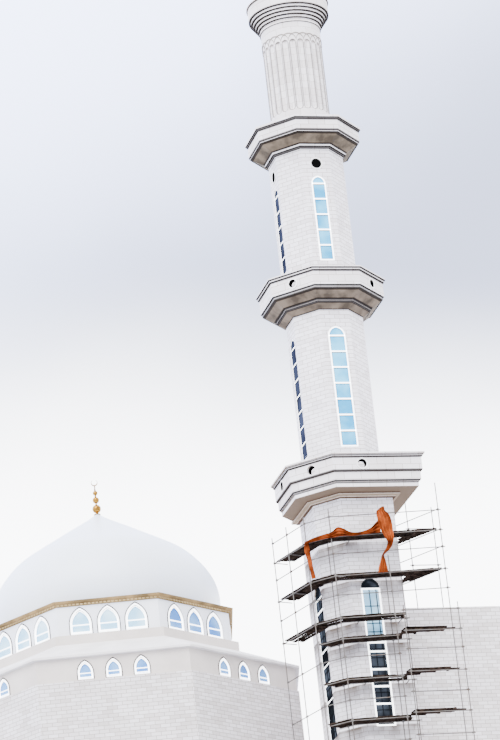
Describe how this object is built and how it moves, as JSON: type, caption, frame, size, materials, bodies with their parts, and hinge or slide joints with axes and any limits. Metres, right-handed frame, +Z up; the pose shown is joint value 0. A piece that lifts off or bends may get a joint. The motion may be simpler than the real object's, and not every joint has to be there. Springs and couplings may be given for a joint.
{
  "type": "mosque with a minaret, 1:2 scale model",
  "caption": "Domed prayer hall with a tall stone minaret, ringed by balconies, a plain side wing and a plank scaffold round the minaret's foot.",
  "frame": {"origin": "centre of the minaret floor's underside, on the ground under the minaret axis", "axes": "+Z up along the minaret axis, -Y out of the minaret's front window face, +X along that face towards the side wing"},
  "size_m": [15.2567, 13.6417, 25.3063],
  "materials": {
    "limestone": "dressed, matt",
    "plaster": "painted plaster, matt",
    "drum_paint": "white painted plaster, matt",
    "carved_stone": "carved, matt",
    "roof_slab": "matt",
    "concrete": "matt",
    "dome_skin": "smooth, satin",
    "window_glass": "blue, clear",
    "gilding": "polished",
    "scaffold_tube": "weathered",
    "plank": "rough, weathered",
    "cloth": "matt"
  },
  "bodies": {
    "root": {"minaret_floor": "concrete", "minaret_base_wall": "limestone", "base_front_window": "window_glass", "base_left_window": "window_glass", "lower_balcony": "limestone", "middle_shaft_wall": "limestone", "middle_shaft_glazing": "window_glass", "middle_balcony": "limestone", "upper_shaft_wall": "limestone", "upper_shaft_glazing": "window_glass", "upper_cornice": "limestone", "fluted_column": "limestone", "column_capital": "limestone", "gallery_parapet": "limestone", "lantern_wall": "limestone", "minaret_dome": "dome_skin", "minaret_finial": "gilding", "hall_floor": "concrete", "hall_stone_wall": "limestone", "hall_window_wall": "plaster", "hall_glazing": "window_glass", "hall_roof": "roof_slab", "drum_upstand": "plaster", "drum_wall": "drum_paint", "drum_glazing": "window_glass", "drum_cornice": "carved_stone", "main_dome": "dome_skin", "dome_finial": "gilding", "wing_walls": "limestone", "wing_roof": "roof_slab", "wing_floor": "concrete", "passage": "limestone", "scaffold_front_frame": "scaffold_tube", "scaffold_bay_frame": "scaffold_tube", "scaffold_inner_frame": "scaffold_tube", "scaffold_left_frame": "scaffold_tube", "scaffold_roof_frame": "scaffold_tube", "scaffold_deck_1": "plank", "scaffold_deck_2": "plank", "scaffold_deck_3": "plank", "scaffold_deck_4": "plank", "scaffold_deck_5": "plank", "scaffold_deck_6": "plank", "scaffold_cloth": "cloth"}
  },
  "joints": []
}
